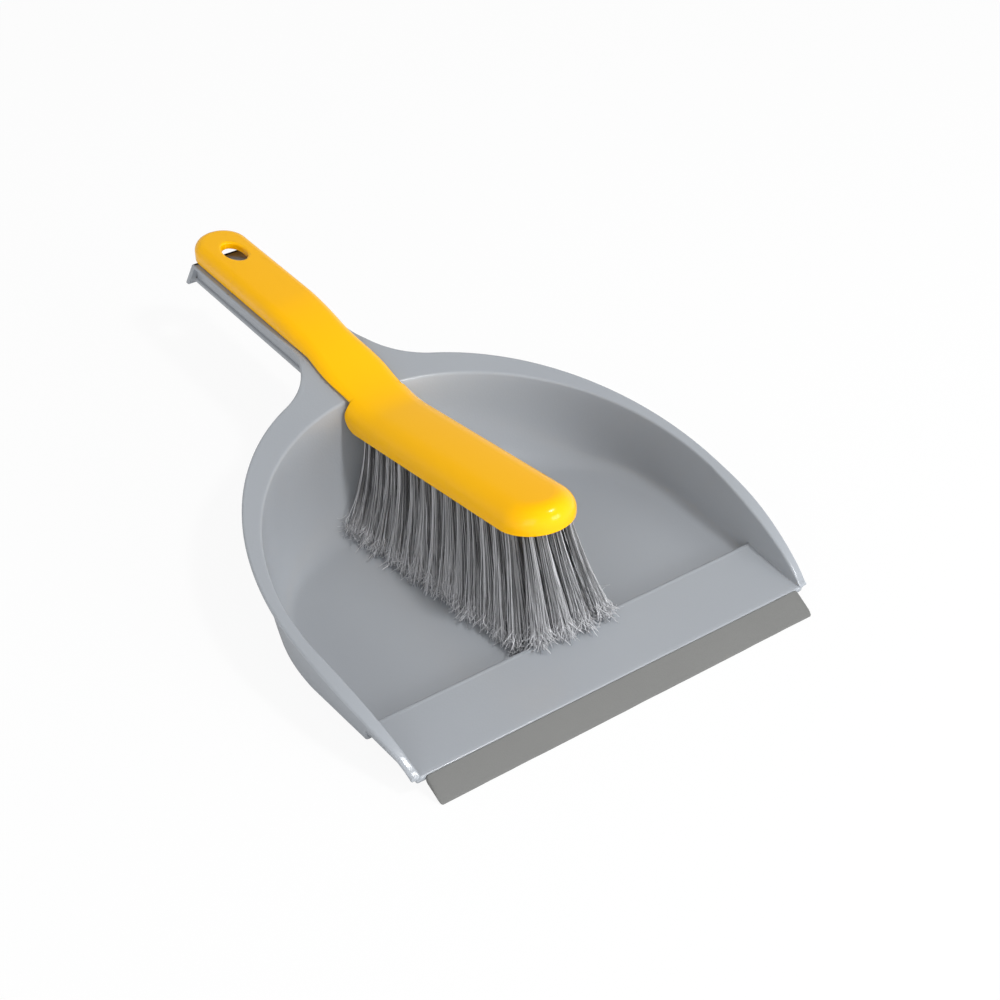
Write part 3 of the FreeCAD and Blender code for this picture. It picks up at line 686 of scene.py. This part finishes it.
# ------------------------------------------------------------ materials
class Sock:
    """A shader socket that arithmetic works on; every operation adds a Math node."""

    def __init__(self, made, out):
        self.made, self.out = made, out

    def _math(self, kind, a, b=None):
        return self.made.node("ShaderNodeMath", {"operation": kind}, {0: a} if b is None else {0: a, 1: b})

    def __add__(self, other):
        return self._math("ADD", self, other)

    __radd__ = __add__

    def __mul__(self, other):
        return self._math("MULTIPLY", self, other)

    __rmul__ = __mul__

    def __sub__(self, other):
        return self._math("SUBTRACT", self, other)

    def __rsub__(self, other):
        return self._math("SUBTRACT", other, self)

    def __pow__(self, other):
        return self._math("POWER", self, other)

    def clamped(self):
        return self._math("MINIMUM", self._math("MAXIMUM", self, 0.0), 1.0)


class Finish:
    """A node material; node() adds any node from its type, settings and inputs."""

    def __init__(self, name, **fixed):
        self.material = bpy.data.materials.new(name)
        self.material.use_nodes = True
        self.tree = self.material.node_tree
        self.shader = self.tree.nodes["Principled BSDF"]
        for key, value in fixed.items():
            self.shader.inputs[key.replace("_", " ")].default_value = value

    def node(self, kind, settings=None, inputs=None, output=0):
        made = self.tree.nodes.new(kind)
        for key, value in (settings or {}).items():
            if key == "stops":
                ramp = made.color_ramp.elements
                while len(ramp) < len(value):
                    ramp.new(0.5)
                for stop, (place, colour) in zip(ramp, value):
                    stop.position = place
                    stop.color = colour
            else:
                setattr(made, key, value)
        for key, value in (inputs or {}).items():
            if isinstance(value, Sock):
                self.tree.links.new(value.out, made.inputs[key])
            else:
                made.inputs[key].default_value = value
        return Sock(self, made.outputs[output])

    def here(self):
        return self.node("ShaderNodeTexCoord", output=3)

    def noise(self, scale, detail=2.0, rough=0.5):
        return self.node("ShaderNodeTexNoise", None, {
            "Vector": self.here(), "Scale": scale, "Detail": detail, "Roughness": rough})

    def mix(self, share, a, b):
        return self.node("ShaderNodeMix", {"data_type": "RGBA"}, {0: share, 6: a, 7: b}, 2)

    def bump(self, height, strength, distance):
        return self.node("ShaderNodeBump", None, {"Strength": strength, "Distance": distance, "Height": height})

    def wire(self, **links):
        for key, value in links.items():
            self.tree.links.new(value.out, self.shader.inputs[key.replace("_", " ")])
        return self.material


def linear(r, g, b):
    """Screen colour, 0 to 255, as linear light."""
    c = np.array((r, g, b)) / 255.0
    c = np.where(c <= 0.04045, c / 12.92, ((c + 0.055) / 1.055) ** 2.4)
    return (float(c[0]), float(c[1]), float(c[2]), 1.0)


def pan_plastic():
    """Cool grey moulded plastic: faint flow mottling and a very fine moulded grain."""
    f = Finish("pan_plastic", Metallic=0.0, IOR=1.46)
    flow = f.noise(9.0, 3.0)
    fine = f.noise(900.0, 2.0)
    colour = f.mix(flow, linear(155, 159, 165), linear(162, 166, 171))
    return f.wire(Base_Color=colour, Roughness=0.20 + flow * 0.08, Normal=f.bump(fine, 0.12, 0.0004))


def lip_rubber():
    """Neutral grey soft rubber: matte, with light rubbing streaks across it."""
    f = Finish("lip_rubber", IOR=1.5)
    cloud = f.noise(60.0, 4.0)
    fine = f.noise(1500.0, 2.0)
    colour = f.mix(cloud, linear(101, 101, 99), linear(110, 110, 108))
    return f.wire(Base_Color=colour, Roughness=0.55 + cloud * 0.15, Normal=f.bump(fine, 0.2, 0.0004))


def brush_plastic():
    """Warm yellow glossy plastic with faint sink marks."""
    f = Finish("brush_plastic", IOR=1.3)
    flow = f.noise(14.0, 2.0)
    fine = f.noise(1100.0, 2.0)
    colour = f.mix(flow, linear(254, 184, 0), linear(255, 192, 0))
    return f.wire(Base_Color=colour, Roughness=0.16 + flow * 0.06, Normal=f.bump(fine, 0.06, 0.0003))


def bristle_fibre():
    """Grey synthetic bristle: each strand has its own random tone, with painted shade darkening it from the tip
    towards the root, standing in for the head's shadow over the roots.
    """
    f = Finish("bristle_fibre", IOR=1.5)
    tone = f.node("ShaderNodeAttribute", {"attribute_name": "tone"}, None, 2)
    along = f.node("ShaderNodeAttribute", {"attribute_name": "along"}, None, 2)
    # painted shade: this body colour, darker than the tip colour, stands in for the head's shadow over the roots
    body_painted_shade = f.mix(tone, linear(34, 34, 36), linear(204, 204, 207))
    tip = f.mix(tone, linear(150, 150, 153), linear(232, 232, 235))
    return f.wire(Base_Color=f.mix(along ** 2.2, body_painted_shade, tip), Roughness=0.38 + tone * 0.12)


def anchor_steel():
    """Plain drawn steel with a fine lengthwise streak."""
    f = Finish("anchor_steel", Metallic=1.0)
    streak = f.noise(700.0, 2.0)
    return f.wire(Base_Color=f.mix(streak, linear(170, 170, 170), linear(200, 200, 198)), Roughness=0.3 + streak * 0.2)


# ------------------------------------------------------------ put together
GREY = pan_plastic()
RUBBER = lip_rubber()
YELLOW = brush_plastic()
FIBRE = bristle_fibre()
STEEL = anchor_steel()
fit(pan_shell(), "pan", "pan_plastic", GREY, "pan_body")
fit(handle_end(), "pan", "pan_plastic", GREY, "pan_body")
fit(handle_ribs(), "pan", "pan_plastic", GREY, "pan_body")
fit(rounded_block("pan_handle_tab", (-16.6, PLATE_END - 3.0, HANDLE_TOP - 12.6), (16.6, PLATE_END, HANDLE_TOP), 0.8,
                  5.0, 2.4), "pan", "pan_plastic", GREY, "pan_body")
fit(rounded_block("pan_handle_tongue", (-11.0, 150.0, HANDLE_TOP - 0.5), (11.0, 204.0, GRIP_TOP - GRIP_ROOF - SEAT), 1.2),
    "pan", "pan_plastic", GREY, "pan_body")
fit(lip_blade(), "pan", "lip_rubber", RUBBER, "rubber_lip")
fit(brush_block(), "brush", "brush_plastic", YELLOW, "brush_block")
for row in range(ROWS):
    fit(filaments(row, 100 + row), "brush", "bristle", FIBRE, "tuft_row_%02d" % (row + 1))
    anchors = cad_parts["anchor_row_%02d" % (row + 1)]
    anchors.data.materials.clear()
    anchors.data.materials.append(STEEL)


# ------------------------------------------------------------ floor, light and camera
HORIZON = 1.15
ZENITH = 0.35
AHEAD = 0.35


def studio_floor():
    """A wide pale floor that looks white to the camera and still takes the set's shadow."""
    half = 3.0
    mesh = bpy.data.meshes.new("studio_floor")
    mesh.from_pydata([(-half, -half, 0), (half, -half, 0), (half, half, 0), (-half, half, 0)], [], [(0, 1, 2, 3)])
    made = bpy.data.objects.new("studio_floor", mesh)
    bpy.context.scene.collection.objects.link(made)
    f = Finish("studio_floor", Roughness=0.9)
    f.shader.inputs["Base Color"].default_value = (0.86, 0.86, 0.86, 1)
    path = f.tree.nodes.new("ShaderNodeLightPath")
    glow = f.node("ShaderNodeEmission", None, {"Color": (1, 1, 1, 1), "Strength": 1.0})
    share = Sock(f, path.outputs["Is Camera Ray"]) * 0.92
    out = f.tree.nodes["Material Output"]
    both = f.node("ShaderNodeMixShader", None, {0: share, 1: Sock(f, f.shader.outputs[0]), 2: glow})
    f.tree.links.new(both.out, out.inputs["Surface"])
    mesh.materials.append(f.material)


def soft_lamp(name, place, aim, size, power, tint=(1, 1, 1)):
    """A square soft lamp at place, turned towards aim."""
    lamp = bpy.data.lights.new(name, "AREA")
    lamp.shape = "SQUARE"
    lamp.size = size
    lamp.energy = power
    lamp.color = tint
    made = bpy.data.objects.new(name, lamp)
    made.location = place
    made.rotation_mode = "QUATERNION"
    made.rotation_quaternion = (Vector(aim) - Vector(place)).to_track_quat("-Z", "Y")
    bpy.context.scene.collection.objects.link(made)


def studio_sky():
    """White surroundings, plain white to the camera; their light fades upwards and to the back."""
    world = bpy.data.worlds.new("studio")
    bpy.context.scene.world = world
    world.use_nodes = True
    tree = world.node_tree
    place = tree.nodes.new("ShaderNodeTexCoord")
    height = tree.nodes.new("ShaderNodeSeparateXYZ")
    level = tree.nodes.new("ShaderNodeValToRGB")
    ahead = tree.nodes.new("ShaderNodeMath")
    ahead.operation = "MULTIPLY_ADD"
    ahead.inputs[1].default_value = -AHEAD
    ahead.inputs[2].default_value = 1.0
    stops = ((0.0, HORIZON), (0.3, HORIZON * 0.62), (1.0, ZENITH))
    level.color_ramp.elements.new(0.3)
    for stop, (at, bright) in zip(level.color_ramp.elements, stops):
        stop.position = at
        stop.color = (bright, bright, bright, 1)
    fill = tree.nodes["Background"]
    plain = tree.nodes.new("ShaderNodeBackground")
    plain.inputs["Strength"].default_value = 1.0
    path = tree.nodes.new("ShaderNodeLightPath")
    pick = tree.nodes.new("ShaderNodeMixShader")
    tree.links.new(place.outputs["Generated"], height.inputs[0])
    tree.links.new(height.outputs["Z"], level.inputs[0])
    tree.links.new(height.outputs["Y"], ahead.inputs[0])
    tree.links.new(level.outputs[0], fill.inputs["Color"])
    tree.links.new(ahead.outputs[0], fill.inputs["Strength"])
    tree.links.new(path.outputs["Is Camera Ray"], pick.inputs[0])
    tree.links.new(fill.outputs[0], pick.inputs[1])
    tree.links.new(plain.outputs[0], pick.inputs[2])
    tree.links.new(pick.outputs[0], tree.nodes["World Output"].inputs["Surface"])


def camera():
    """Long lens from the front left, looking down at 37 degrees."""
    cam = bpy.data.cameras.new("camera")
    cam.sensor_width = 36.0
    cam.lens = 68.23
    made = bpy.data.objects.new("camera", cam)
    a, e, roll = math.radians(-35.57), math.radians(37.16), math.radians(0.07)
    back = Vector((math.sin(a) * math.cos(e), -math.cos(a) * math.cos(e), math.sin(e)))
    made.location = Vector((0.00954, 0.00512, 0.03436)) + back * 0.8489
    made.rotation_mode = "QUATERNION"
    made.rotation_quaternion = (-back).to_track_quat("-Z", "Y") @ Quaternion((0, 0, 1), roll)
    bpy.context.scene.collection.objects.link(made)
    bpy.context.scene.camera = made


studio_floor()
studio_sky()
soft_lamp("lamp_key", (0.39, -0.62, 1.19), (0, 0.05, 0), 0.18, 9.0)
soft_lamp("lamp_right", (0.55, -1.45, 0.42), (0, 0.05, 0.03), 0.6, 10.0, (0.93, 0.97, 1.0))
soft_lamp("lamp_left", (-1.3, -0.9, 0.6), (0, 0.05, 0.03), 0.9, 5.5, (0.95, 0.98, 1.0))
camera()
bpy.context.scene.view_settings.view_transform = "Standard"
